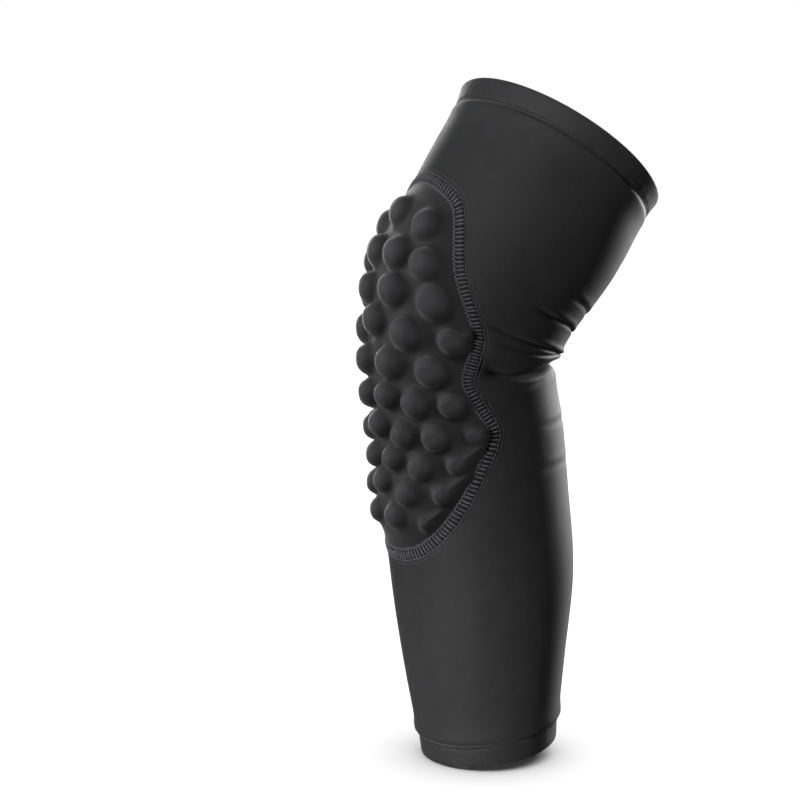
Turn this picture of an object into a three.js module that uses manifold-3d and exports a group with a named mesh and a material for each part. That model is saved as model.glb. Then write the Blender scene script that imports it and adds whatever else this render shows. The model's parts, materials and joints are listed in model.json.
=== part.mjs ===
// Basketball knee pad: a stretch leg sleeve with a bumped foam pad sewn into its front.
// Millimetres, +Z up. The origin is the middle of the knee, level with the main crease behind it.
// The front of the knee faces -Y, and the sleeve keeps the bend of a leg that wears it.

import * as THREE from 'three';
import { mergeVertices } from 'three/addons/utils/BufferGeometryUtils.js';
import Module from 'manifold-3d';

const wasm = await Module();
wasm.setup();

const { degToRad, lerp, smoothstep } = THREE.MathUtils;

// The leg's middle line: straight along the shin and the thigh, with a smooth bend between them
const SHIN_LEAN = degToRad(-6);
const THIGH_LEAN = degToRad(33.5);
const BEND_MIDDLE = 14.5;
const BEND_REACH = 56;

// The open ends: the rim's place along the middle line at the front, how much higher it lies at the
// sides and at the back, and how far it opens out
const BOTTOM_RIM = { along: -232.5, sides: 0, back: 3, flare: 1 };
const TOP_RIM = { along: 141.7, sides: 0, back: -2, flare: 4 };

// Round sections of the worn sleeve: distance along the middle line, and from it to front and back
const SECTIONS = [
  { along: -235, front: 41, back: 39 },
  { along: -180, front: 46, back: 49.5 },
  { along: -130, front: 48.5, back: 58.8 },
  { along: -80, front: 48.5, back: 60 },
  { along: -40, front: 45, back: 60 },
  { along: 0, front: 48.5, back: 56.8 },
  { along: 40, front: 59, back: 59.5 },
  { along: 90, front: 64.5, back: 65 },
  { along: 145, front: 65.5, back: 61.5 },
];

// Fabric, hems and seam
const FABRIC = 1.5;
const GAP = 0.3;
const HEM = { height: 14, thickness: 2.4, inset: 0.5 };
const SEAM = { width: 7, proud: 0.9 };
const CUT_REACH = 3.3;

// Folds behind the knee: where each runs at the side and at the back, the angles from the front
// between which it shows, the groove's depth and width, and the height of the roll above it
const FOLDS = [
  { side: -4, back: 2, from: 70, to: 180, depth: 4, width: 6.5, roll: 2.2 },
  { side: 18, back: 16, from: 76, to: 158, depth: 2.4, width: 5, roll: 1.6 },
  { side: 41, back: 43, from: 108, to: 180, depth: 2.2, width: 6, roll: 1.2 },
  { side: -23, back: -25, from: 74, to: 112, depth: 1, width: 6, roll: 0.6 },
];
const FOLD_FADE = 14;
const FOLD_TURN = { from: 90, to: 165 };
const ROLL_ABOVE = 1.7;

// Outline of the pad laid flat: distance up the front line and half width, at the seam's middle
const PAD_OUTLINE = [
  { up: 102.5, half: 0 },
  { up: 98.7, half: 21.5 },
  { up: 92, half: 37.2 },
  { up: 78.7, half: 45 },
  { up: 55, half: 53.5 },
  { up: 36.3, half: 61.9 },
  { up: 19.7, half: 66.3 },
  { up: 4, half: 63.3 },
  { up: -13.2, half: 59 },
  { up: -29.4, half: 64.5 },
  { up: -45.6, half: 70.5 },
  { up: -61, half: 65.5 },
  { up: -86.3, half: 52.5 },
  { up: -103.8, half: 36.5 },
  { up: -112.6, half: 21 },
  { up: -115.2, half: 0 },
];
const PAD = { edge: 0.6, base: 3.5, shoulder: 13 };

// Rows of foam bumps, top to bottom: place up the front line, number, reach to the outermost one,
// radius, and height of the tops above the sleeve's surface; each row rises towards the front line
const BUMP_ROWS = [
  { up: 74.3, count: 3, reach: 25.9, radius: 10.4, height: 10 },
  { up: 52.6, count: 4, reach: 34.1, radius: 10.6, height: 11.5 },
  { up: 32.9, count: 4, reach: 41.8, radius: 10.8, height: 12 },
  { up: 12.4, count: 5, reach: 51.2, radius: 10.6, height: 12 },
  { up: -7.3, count: 4, reach: 40.4, radius: 10.4, height: 12 },
  { up: -26.4, count: 6, reach: 49.9, radius: 9.8, height: 12 },
  { up: -45, count: 7, reach: 59.8, radius: 9.6, height: 11.5 },
  { up: -61.4, count: 6, reach: 50.4, radius: 9.4, height: 11 },
  { up: -77.2, count: 5, reach: 42.4, radius: 9.3, height: 10 },
  { up: -94.2, count: 4, reach: 31.6, radius: 9.2, height: 9 },
];
const ROW_ARCH = { rise: 5, reach: 26 };
const BUMP = { sides: 10, sunk: 1.2, seamMargin: 0.3 };

// Profile of one bump, as shares of its radius and of its height: a pebble with a flattish top
const BUMP_PROFILE = [
  { out: 1, rise: 0 },
  { out: 0.95, rise: 0.45 },
  { out: 0.7, rise: 0.84 },
  { out: 0, rise: 1 },
];

// Mesh steps
const AROUND = 36;
const FOLD_ZONE = { from: -34, to: 56, step: 5 };
const PLAIN_STEP = 22;
const SPINE_STEP = 1;
const OUTLINE_STEPS = 33;
const OUTLINE_ENDS = { from: 0.012, to: 0.988 };
const PAD_COLUMNS = [-1, -0.8, -0.42, 0, 0.42, 0.8, 1];

// A smooth curve through the rows of a table, with one column as its variable
function curveThrough(rows, variable, column) {
  const slope = (a, b) => (rows[b][column] - rows[a][column]) / (rows[b][variable] - rows[a][variable]);
  const last = rows.length - 1;
  const slopes = rows.map((row, i) => slope(Math.max(i - 1, 0), Math.min(i + 1, last)));
  return (at) => {
    let i = 0;
    while (i < last - 1 && at > rows[i + 1][variable]) i += 1;
    const span = rows[i + 1][variable] - rows[i][variable];
    const t = THREE.MathUtils.clamp((at - rows[i][variable]) / span, 0, 1);
    const rise = t * t * (3 - 2 * t);
    const leave = t * (1 - t) * (1 - t) * span * slopes[i];
    const arrive = t * t * (1 - t) * span * slopes[i + 1];
    return lerp(rows[i][column], rows[i + 1][column], rise) + leave - arrive;
  };
}

const front = curveThrough(SECTIONS, 'along', 'front');
const back = curveThrough(SECTIONS, 'along', 'back');
const radius = (along) => (front(along) + back(along)) / 2;

function lean(along) {
  const bent = smoothstep(along, BEND_MIDDLE - BEND_REACH, BEND_MIDDLE + BEND_REACH);
  return lerp(SHIN_LEAN, THIGH_LEAN, bent);
}

// Stations along the middle line, with their place and the distance up the front line from the origin
function walkSpine(end) {
  const stations = [{ along: 0, y: 0, z: 0, up: 0 }];
  const step = Math.sign(end) * SPINE_STEP;
  while (Math.abs(stations.at(-1).along) < Math.abs(end)) {
    const { along, y, z, up } = stations.at(-1);
    const middle = lean(along + step / 2);
    const turn = lean(along + step) - lean(along);
    stations.push({
      along: along + step,
      y: y + step * Math.sin(middle),
      z: z + step * Math.cos(middle),
      up: up + step + turn * front(along + step / 2),
    });
  }
  return stations;
}

const SPINE = [
  ...walkSpine(SECTIONS[0].along).reverse(),
  ...walkSpine(SECTIONS.at(-1).along).slice(1),
];

// The value of one spine column where another has the given value
function onSpine(known, value, wanted) {
  let i = 0;
  while (i < SPINE.length - 2 && SPINE[i + 1][known] < value) i += 1;
  const share = (value - SPINE[i][known]) / (SPINE[i + 1][known] - SPINE[i][known]);
  return lerp(SPINE[i][wanted], SPINE[i + 1][wanted], share);
}

// A point on the leg: along the middle line, round from the front towards +X, and out from the skin
function legPoint(along, angle, out) {
  const middle = (back(along) - front(along)) / 2;
  const reach = radius(along) + out;
  const behind = middle - reach * Math.cos(angle);
  const tilt = lean(along);
  return new THREE.Vector3(
    reach * Math.sin(angle),
    onSpine('along', along, 'y') + behind * Math.cos(tilt),
    onSpine('along', along, 'z') - behind * Math.sin(tilt),
  );
}

// A point on the leg from the pad's flat pattern
function padPoint(up, across, out) {
  const along = onSpine('up', up, 'along');
  return legPoint(along, across / radius(along), out);
}

function foldHeight(along, angle) {
  const turn = Math.abs(THREE.MathUtils.radToDeg(Math.atan2(Math.sin(angle), Math.cos(angle))));
  let height = 0;
  for (const fold of FOLDS) {
    const starts = smoothstep(turn, fold.from, fold.from + FOLD_FADE);
    const ends = 1 - smoothstep(turn, fold.to - FOLD_FADE, fold.to);
    const strength = starts * (fold.to < 180 ? ends : 1);
    const line = lerp(fold.side, fold.back, smoothstep(turn, FOLD_TURN.from, FOLD_TURN.to));
    const away = (along - line) / fold.width;
    height -= strength * fold.depth * Math.exp(-away * away);
    height += strength * fold.roll * Math.exp(-((away - ROLL_ABOVE) ** 2));
  }
  return height;
}

// A closed wall between two grids of points; a wrapped grid joins its last column to its first
function wall(outer, inner, wrapped) {
  const rows = outer.length;
  const columns = outer[0].length;
  const points = [...outer.flat(), ...inner.flat()];
  const inside = rows * columns;
  const place = (i, j) => i * columns + (j % columns);
  const index = [];
  const quad = (a, b, c, d) => index.push(a, b, c, a, c, d);
  const spans = wrapped ? columns : columns - 1;
  for (let i = 0; i < rows - 1; i += 1) {
    for (let j = 0; j < spans; j += 1) {
      const corners = [place(i, j), place(i, j + 1), place(i + 1, j + 1), place(i + 1, j)];
      quad(...corners);
      quad(...corners.map((corner) => corner + inside).reverse());
    }
  }
  const rim = (a, b) => quad(a, a + inside, b + inside, b);
  for (let j = 0; j < spans; j += 1) {
    rim(place(0, j), place(0, j + 1));
    rim(place(rows - 1, j + 1), place(rows - 1, j));
  }
  for (let i = 0; i < rows - 1 && !wrapped; i += 1) {
    rim(place(i + 1, 0), place(i, 0));
    rim(place(i, columns - 1), place(i + 1, columns - 1));
  }
  const geometry = new THREE.BufferGeometry().setFromPoints(points);
  geometry.setIndex(index);
  return facingOut(geometry);
}

function facingOut(geometry) {
  const at = geometry.attributes.position;
  const index = geometry.index.array;
  const corner = (i) => new THREE.Vector3().fromBufferAttribute(at, index[i]);
  let volume = 0;
  for (let i = 0; i < index.length; i += 3) {
    volume += corner(i).dot(corner(i + 1).cross(corner(i + 2)));
  }
  if (volume < 0) geometry.setIndex([...index].reverse());
  return geometry;
}

function toSolid(geometry) {
  return new wasm.Manifold(new wasm.Mesh({
    numProp: 3,
    vertProperties: new Float32Array(geometry.attributes.position.array),
    triVerts: new Uint32Array(geometry.index.array),
  }));
}

function fromSolid(solid) {
  const mesh = solid.getMesh();
  const geometry = new THREE.BufferGeometry();
  geometry.setAttribute('position', new THREE.BufferAttribute(mesh.vertProperties, 3));
  geometry.setIndex(new THREE.BufferAttribute(mesh.triVerts, 1));
  return geometry;
}

// The right half of the pad's outline, bottom to top, moved outwards by a distance
const halfOutline = new THREE.CatmullRomCurve3(
  [...PAD_OUTLINE].reverse().map(({ up, half }) => new THREE.Vector3(half, up, 0)),
);

function outlinePoints(grow) {
  const points = [];
  for (let i = 0; i <= OUTLINE_STEPS; i += 1) {
    const t = lerp(OUTLINE_ENDS.from, OUTLINE_ENDS.to, i / OUTLINE_STEPS);
    const at = halfOutline.getPointAt(t);
    const tangent = halfOutline.getTangentAt(t);
    points.push({ half: at.x + grow * tangent.y, up: at.y - grow * tangent.x });
  }
  return points;
}

// How far the pad's face stands out: thin at the seam, full once clear of it
function padRise(up, across, edge) {
  const toEnds = Math.min(edge.at(-1).up - up, up - edge[0].up);
  const level = (point) => Math.abs(point.up - up);
  const beside = edge.reduce((near, point) => (level(point) < level(near) ? point : near));
  const toSide = beside.half - Math.abs(across);
  const full = smoothstep(toEnds, 0, PAD.shoulder) * smoothstep(toSide, 0, PAD.shoulder);
  return lerp(PAD.edge, PAD.base, full);
}

// A panel of the pad's outline that lies on the leg
function panel(grow, innerAt, outerAt) {
  const edge = outlinePoints(grow);
  const layer = (heightAt) => edge.map(({ up, half }) => PAD_COLUMNS.map(
    (share) => padPoint(up, share * half, heightAt(up, share * half, edge)),
  ));
  return wall(layer(outerAt), layer(innerAt), false);
}

function roomInSeam(up, across) {
  const toSeam = (point) => Math.hypot(point.up - up, point.half - Math.abs(across));
  const nearest = Math.min(...outlinePoints(0).map(toSeam));
  return nearest - SEAM.width / 2 - GAP - BUMP.seamMargin;
}

// One bump; a bump that the seam crowds is smaller and lower
function bump(up, across, radius, height) {
  const reach = Math.min(radius, roomInSeam(up, across));
  const foot = PAD.edge - BUMP.sunk;
  const top = lerp(PAD.base, height, reach / radius);
  const profile = [new THREE.Vector2(0, foot)];
  for (const { out, rise } of BUMP_PROFILE) {
    profile.push(new THREE.Vector2(out * reach, lerp(foot, top, rise)));
  }
  const shape = new THREE.LatheGeometry(profile, BUMP.sides);
  shape.deleteAttribute('normal');
  shape.deleteAttribute('uv');
  const closed = facingOut(mergeVertices(shape));
  const at = padPoint(up, across, 0);
  const upward = padPoint(up + 1, across, 0).sub(padPoint(up - 1, across, 0));
  const sideways = padPoint(up, across + 1, 0).sub(padPoint(up, across - 1, 0));
  const outward = sideways.cross(upward).normalize();
  const turn = new THREE.Quaternion().setFromUnitVectors(new THREE.Vector3(0, 1, 0), outward);
  return closed.applyQuaternion(turn).translate(at.x, at.y, at.z);
}

function kneePad() {
  const inset = -SEAM.width / 2 - GAP;
  let solid = toSolid(panel(inset, () => -FABRIC, padRise));
  for (const { up, count, reach, radius, height } of BUMP_ROWS) {
    for (let i = 0; i < count; i += 1) {
      const across = lerp(-reach, reach, i / (count - 1));
      const arch = ROW_ARCH.rise * (1 - smoothstep(Math.abs(across), 0, ROW_ARCH.reach));
      solid = solid.add(toSolid(bump(up + arch, across, radius, height)));
    }
  }
  return fromSolid(solid);
}

function padSeam() {
  const loop = (grow, out) => {
    const right = outlinePoints(grow);
    const left = [...right].reverse().map(({ up, half }) => ({ up, half: -half }));
    return [...right, ...left].map(({ up, half }) => padPoint(up, half, out));
  };
  const edges = [-SEAM.width / 2, SEAM.width / 2];
  const crown = [edges[0], 0, edges[1]];
  const outer = crown.map((grow) => loop(grow, grow === 0 ? SEAM.proud : PAD.edge));
  const inner = crown.map((grow) => loop(grow, -FABRIC));
  return wall(outer, inner, true);
}

function rimRise(rim, angle) {
  return rim.sides * Math.sin(angle) ** 2 + (rim.back * (1 - Math.cos(angle))) / 2;
}

// A ring of points round the leg; towards an open end it follows that end's rim
function ring(along, outAt) {
  const nearTop = smoothstep(along, FOLD_ZONE.to, TOP_RIM.along);
  const nearBottom = 1 - smoothstep(along, BOTTOM_RIM.along, FOLD_ZONE.from);
  return Array.from({ length: AROUND }, (_, j) => {
    const angle = (2 * Math.PI * j) / AROUND;
    const rise = nearTop * rimRise(TOP_RIM, angle) + nearBottom * rimRise(BOTTOM_RIM, angle);
    return legPoint(along + rise, angle, outAt(angle));
  });
}

function sleeveRows(from, to) {
  const rows = [];
  const run = (start, end, step) => {
    const count = Math.round((end - start) / step);
    for (let i = 0; i < count; i += 1) rows.push(lerp(start, end, i / count));
  };
  run(from, FOLD_ZONE.from, PLAIN_STEP);
  run(FOLD_ZONE.from, FOLD_ZONE.to, FOLD_ZONE.step);
  run(FOLD_ZONE.to, to, PLAIN_STEP);
  return [...rows, to];
}

function sleeve() {
  const rows = sleeveRows(BOTTOM_RIM.along + HEM.height + GAP, TOP_RIM.along - HEM.height - GAP);
  const layer = (out) => rows.map((along) => ring(along, (angle) => out + foldHeight(along, angle)));
  const tube = toSolid(wall(layer(0), layer(-FABRIC), true));
  const hole = panel(SEAM.width / 2 + GAP, () => -CUT_REACH, () => CUT_REACH);
  return fromSolid(tube.subtract(toSolid(hole)));
}

// A doubled band of fabric between the sleeve's end and a rim that opens out
function hem(end, rim) {
  const layer = (out) => [ring(end, () => out), ring(rim.along, () => out + rim.flare)];
  return wall(layer(-HEM.inset), layer(-HEM.inset - HEM.thickness), true);
}

const knit = new THREE.MeshStandardMaterial({ color: 0x29292b, roughness: 0.72, metalness: 0 });
const padKnit = new THREE.MeshStandardMaterial({ color: 0x2c2c2f, roughness: 0.8, metalness: 0 });
const thread = new THREE.MeshStandardMaterial({ color: 0x3d3d41, roughness: 0.7, metalness: 0 });

function piece(name, geometry, material) {
  geometry.computeVertexNormals();
  const mesh = new THREE.Mesh(geometry, material);
  mesh.name = name;
  return mesh;
}

const group = new THREE.Group();
group.add(
  piece('sleeve', sleeve(), knit),
  piece('knee_pad', kneePad(), padKnit),
  piece('pad_seam', padSeam(), thread),
  piece('top_hem', hem(TOP_RIM.along - HEM.height, TOP_RIM), knit),
  piece('bottom_hem', hem(BOTTOM_RIM.along + HEM.height, BOTTOM_RIM), knit),
);

export default group;
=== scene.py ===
"""Basketball knee pad: a stretch leg sleeve with a bumped foam pad sewn into its front.

Metres, +Z up. The origin is the middle of the knee, and the front of the knee faces -Y.
"""

import json
import math
import random
from collections import namedtuple

import bmesh
import bpy
import numpy as np
from mathutils import Matrix, Vector, kdtree, noise


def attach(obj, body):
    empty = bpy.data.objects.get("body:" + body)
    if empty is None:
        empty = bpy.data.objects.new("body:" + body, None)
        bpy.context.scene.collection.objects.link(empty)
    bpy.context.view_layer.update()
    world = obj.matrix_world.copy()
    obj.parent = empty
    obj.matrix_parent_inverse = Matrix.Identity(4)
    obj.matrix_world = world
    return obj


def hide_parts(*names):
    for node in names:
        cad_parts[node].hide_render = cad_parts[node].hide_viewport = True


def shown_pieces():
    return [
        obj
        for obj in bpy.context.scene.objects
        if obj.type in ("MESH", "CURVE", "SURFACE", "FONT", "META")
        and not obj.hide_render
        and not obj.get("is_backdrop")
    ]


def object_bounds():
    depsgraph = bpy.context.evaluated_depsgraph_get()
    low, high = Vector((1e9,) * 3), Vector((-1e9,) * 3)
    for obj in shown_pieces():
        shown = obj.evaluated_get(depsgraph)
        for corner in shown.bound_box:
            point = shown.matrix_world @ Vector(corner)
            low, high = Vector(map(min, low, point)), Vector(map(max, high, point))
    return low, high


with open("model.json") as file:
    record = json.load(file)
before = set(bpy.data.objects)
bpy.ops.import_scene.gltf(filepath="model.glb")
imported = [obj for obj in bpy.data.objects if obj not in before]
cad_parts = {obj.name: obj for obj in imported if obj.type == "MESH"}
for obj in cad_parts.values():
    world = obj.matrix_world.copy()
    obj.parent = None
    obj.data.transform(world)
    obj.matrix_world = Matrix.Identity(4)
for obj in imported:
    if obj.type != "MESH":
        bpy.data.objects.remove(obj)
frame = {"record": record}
CAD_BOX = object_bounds()

bl_info = {
    "name": "Basketball knee pad",
    "version": (1, 0, 0),
    "blender": (4, 5, 0),
    "location": "3D View > Sidebar > Knee Pad",
    "description": "Makes a worn leg sleeve with a bumped knee pad",
    "category": "Add Mesh",
}

BODY = "root"
RECORD_COLOURS = {row["slot"]: row["base_color"] for row in frame["record"]["materials"]}

# Round sections of the worn sleeve: distance along the leg's middle line, and from it to front and back
Section = namedtuple("Section", "along front back")
SECTIONS = (
    Section(-0.235, 0.0410, 0.0390),
    Section(-0.180, 0.0460, 0.0495),
    Section(-0.130, 0.0485, 0.0588),
    Section(-0.080, 0.0485, 0.0600),
    Section(-0.040, 0.0450, 0.0600),
    Section(0.000, 0.0485, 0.0568),
    Section(0.040, 0.0590, 0.0595),
    Section(0.090, 0.0645, 0.0650),
    Section(0.145, 0.0655, 0.0615),
)

# The open ends: how much higher each rim lies at the back, how far it opens out, how much of the hem's
# pinch is left at the sides, and how far the sleeve rolls out beside the hem; the stretch of the leg
# between the two limits stays level
Rim = namedtuple("Rim", "back flare side_pinch roll")
BOTTOM_RIM = Rim(0.003, 0.001, 0.8, 0.0010)
TOP_RIM = Rim(-0.002, 0.004, 0.1, 0.0)
LEVEL_STRETCH = (-0.034, 0.056)

# Outline of the pad laid flat, at the seam's middle, bottom to top: distance up the front line, half width
Edge = namedtuple("Edge", "up half")
PAD_OUTLINE = (
    Edge(-0.1152, 0.0000),
    Edge(-0.1126, 0.0210),
    Edge(-0.1038, 0.0365),
    Edge(-0.0863, 0.0525),
    Edge(-0.0610, 0.0655),
    Edge(-0.0456, 0.0705),
    Edge(-0.0294, 0.0645),
    Edge(-0.0132, 0.0590),
    Edge(0.0040, 0.0633),
    Edge(0.0197, 0.0663),
    Edge(0.0363, 0.0619),
    Edge(0.0550, 0.0535),
    Edge(0.0787, 0.0450),
    Edge(0.0920, 0.0372),
    Edge(0.0987, 0.0215),
    Edge(0.1025, 0.0000),
)

# Rows of foam bumps: place up the front line, number, reach to the outermost one, radius, height of the
# tops, share of the radius that an outermost bump with a ridge keeps, and how far the ridge is drawn
# out and up
BumpRow = namedtuple("BumpRow", "up count reach radius height edge_share ridge_out ridge_up")
BUMP_ROWS = (
    BumpRow(0.0743, 3, 0.0259, 0.0104, 0.0100, 1.0, 0.0, 0.0),
    BumpRow(0.0526, 4, 0.0341, 0.0106, 0.0115, 1.0, 0.0, 0.0),
    BumpRow(0.0329, 4, 0.0418, 0.0108, 0.0120, 1.0, 0.0, 0.0),
    BumpRow(0.0124, 5, 0.0512, 0.0106, 0.0120, 0.85, 0.0085, 0.0065),
    BumpRow(-0.0073, 4, 0.0404, 0.0104, 0.0120, 1.0, 0.0, 0.0),
    BumpRow(-0.0264, 6, 0.0499, 0.0092, 0.0120, 1.0, 0.0, 0.0),
    BumpRow(-0.0450, 7, 0.0598, 0.0090, 0.0115, 1.0, 0.0, 0.0),
    BumpRow(-0.0614, 6, 0.0504, 0.0089, 0.0110, 0.66, 0.0118, 0.0085),
    BumpRow(-0.0772, 5, 0.0424, 0.0088, 0.0100, 0.66, 0.0112, 0.0082),
    BumpRow(-0.0942, 4, 0.0316, 0.0088, 0.0090, 0.72, 0.0100, 0.0072),
)

# How far each row rises towards the front line, and how far from that line the rise begins
ROW_ARCH = 0.005
ROW_ARCH_REACH = 0.026

# Folds behind the knee: places along the leg at five angles from the front, the angles between which
# the fold shows, the groove's depth and width, the roll above it and how far that hangs over the groove;
# a depth below nought is a raised lip
FOLD_ANGLES = np.radians((74, 98, 118, 142, 180))
Fold = namedtuple("Fold", "places start end depth width roll hang")
MAIN_CREASE = (-0.0032, -0.0047, -0.0024, 0.0052, 0.0065)
LIP_BELOW = 0.0046
MAIN_LIP = tuple(place - LIP_BELOW for place in MAIN_CREASE)
FOLDS = (
    Fold(MAIN_CREASE, 68, 180, 0.0036, 0.0062, 0.0016, 0.0),
    Fold(MAIN_CREASE, 74, 146, 0.0044, 0.0022, 0.0006, 0.0006),
    Fold(MAIN_CREASE, 132, 180, 0.0012, 0.0030, 0.0005, 0.0004),
    Fold(MAIN_LIP, 68, 150, -0.0008, 0.0018, 0.0, 0.0),
    Fold((0.0204, 0.0178, 0.0170, 0.0172, 0.0185), 70, 166, 0.0022, 0.0018, 0.0005, 0.0013),
    Fold((0.0125, 0.0111, 0.0115, 0.0150, 0.0170), 78, 154, 0.0018, 0.0017, 0.0003, 0.0010),
    Fold((0.0360, 0.0377, 0.0393, 0.0420, 0.0430), 94, 180, 0.0017, 0.0020, 0.0004, 0.0010),
    Fold((0.0550, 0.0555, 0.0568, 0.0600, 0.0610), 114, 172, 0.0008, 0.0022, 0.0003, 0.0004),
    Fold((-0.0190, -0.0235, -0.0240, -0.0240, -0.0240), 66, 104, 0.0008, 0.0018, 0.0004, 0.0003),
    Fold((-0.0386, -0.0386, -0.0386, -0.0390, -0.0390), 108, 168, 0.0003, 0.0024, 0.0002, 0.0),
    Fold((-0.0626, -0.0626, -0.0626, -0.0632, -0.0632), 104, 160, 0.0003, 0.0024, 0.0002, 0.0),
)

# The angle over which a fold fades in or out, where its roll and its overhang lie above the groove, in
# widths of the groove, and how far and how often the folds wave on the side at -X
FOLD_FADE = math.radians(14)
ROLL_ABOVE = 1.7
HANG_ABOVE = 1.2
SWAY = 0.0022
SWAY_WAVES = 3


class SleeveSizes(bpy.types.PropertyGroup):
    """The leg tube and its hems"""

    shin_lean: bpy.props.FloatProperty(
        name="Shin lean", description="Shin's lean backwards", default=math.radians(-6), subtype="ANGLE"
    )
    thigh_lean: bpy.props.FloatProperty(
        name="Thigh lean", description="Thigh's lean backwards", default=math.radians(33.5), subtype="ANGLE"
    )
    bend_middle: bpy.props.FloatProperty(
        name="Bend middle", description="Middle of the bend along the leg", default=0.0145, unit="LENGTH"
    )
    bend_reach: bpy.props.FloatProperty(
        name="Bend reach", description="Length of the bend to each side", default=0.056, unit="LENGTH"
    )
    bottom_rim: bpy.props.FloatProperty(
        name="Bottom rim", description="Lower end along the leg", default=-0.2325, unit="LENGTH"
    )
    top_rim: bpy.props.FloatProperty(
        name="Top rim", description="Upper end along the leg", default=0.1417, unit="LENGTH"
    )
    fabric: bpy.props.FloatProperty(
        name="Fabric", description="Thickness of the knit", default=0.0015, unit="LENGTH"
    )
    hem_height: bpy.props.FloatProperty(
        name="Hem height", description="Height of each doubled hem", default=0.014, unit="LENGTH"
    )
    hem_thickness: bpy.props.FloatProperty(
        name="Hem thickness", description="Thickness of the doubled fabric", default=0.0024, unit="LENGTH"
    )
    hem_inset: bpy.props.FloatProperty(
        name="Hem inset", description="How far the hems draw the leg in", default=0.0010, unit="LENGTH"
    )
    cut_width: bpy.props.FloatProperty(
        name="Cut width", description="Width of the cloth before stretching", default=0.285, unit="LENGTH"
    )
    cut_length: bpy.props.FloatProperty(
        name="Cut length", description="Length of the cloth between the hems", default=0.345, unit="LENGTH"
    )


class PadSizes(bpy.types.PropertyGroup):
    """The foam pad and the seam round it"""

    edge: bpy.props.FloatProperty(
        name="Edge", description="Height of the pad at the seam", default=0.0006, unit="LENGTH"
    )
    base: bpy.props.FloatProperty(
        name="Base", description="Height of the foam between the bumps", default=0.0035, unit="LENGTH"
    )
    shoulder: bpy.props.FloatProperty(
        name="Shoulder", description="Length of the pad's rise from the seam", default=0.013, unit="LENGTH"
    )
    fill: bpy.props.FloatProperty(
        name="Fill", description="How full the foam makes the cover", default=0.95, subtype="FACTOR"
    )
    seam_width: bpy.props.FloatProperty(
        name="Seam width", description="Width of the stitched band", default=0.007, unit="LENGTH"
    )
    seam_proud: bpy.props.FloatProperty(
        name="Seam height", description="How far the threads stand out", default=0.0009, unit="LENGTH"
    )
    stitch_pitch: bpy.props.FloatProperty(
        name="Stitch pitch", description="Distance between cross stitches", default=0.0024, unit="LENGTH"
    )
    thread: bpy.props.FloatProperty(
        name="Thread", description="Half thickness of the seam's threads", default=0.00036, unit="LENGTH"
    )


class Colours(bpy.types.PropertyGroup):
    """Colours of the cloth, thread and floor"""

    knit: bpy.props.FloatVectorProperty(
        name="Knit", description="Sleeve's cloth", subtype="COLOR", default=RECORD_COLOURS["stretch_knit"]
    )
    pad: bpy.props.FloatVectorProperty(
        name="Pad", description="Pad's cover", subtype="COLOR", default=RECORD_COLOURS["pad_knit"]
    )
    thread: bpy.props.FloatVectorProperty(
        name="Thread", description="Seam's threads", subtype="COLOR", default=RECORD_COLOURS["seam_thread"]
    )
    floor: bpy.props.FloatVectorProperty(
        name="Floor", description="Floor under the part", subtype="COLOR", default=(0.9, 0.9, 0.9)
    )


class KneePad(bpy.types.PropertyGroup):
    """Everything a user may change"""

    sleeve: bpy.props.PointerProperty(type=SleeveSizes)
    pad: bpy.props.PointerProperty(type=PadSizes)
    colours: bpy.props.PointerProperty(type=Colours)


def smooth(share):
    """A soft step from 0 to 1."""
    share = np.clip(share, 0, 1)
    return share * share * (3 - 2 * share)


def curve_through(knots, values):
    """A smooth curve through a table's rows, as a function of an array."""
    knots = np.array(knots, float)
    values = np.array(values, float)
    spans = np.diff(knots)
    slopes = np.gradient(values, knots)
    slopes[1:-1] = (values[2:] - values[:-2]) / (knots[2:] - knots[:-2])

    def at(where):
        i = np.clip(np.searchsorted(knots, where) - 1, 0, len(spans) - 1)
        t = np.clip((where - knots[i]) / spans[i], 0, 1)
        leave = t * (1 - t) ** 2 * spans[i] * slopes[i]
        arrive = t * t * (1 - t) * spans[i] * slopes[i + 1]
        return values[i] + (values[i + 1] - values[i]) * smooth(t) + leave - arrive

    return at


def lengths_along(line):
    """The distance walked along a line, at each of its points."""
    return np.concatenate(([0.0], np.cumsum(np.hypot(*np.diff(line, axis=0).T))))


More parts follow.
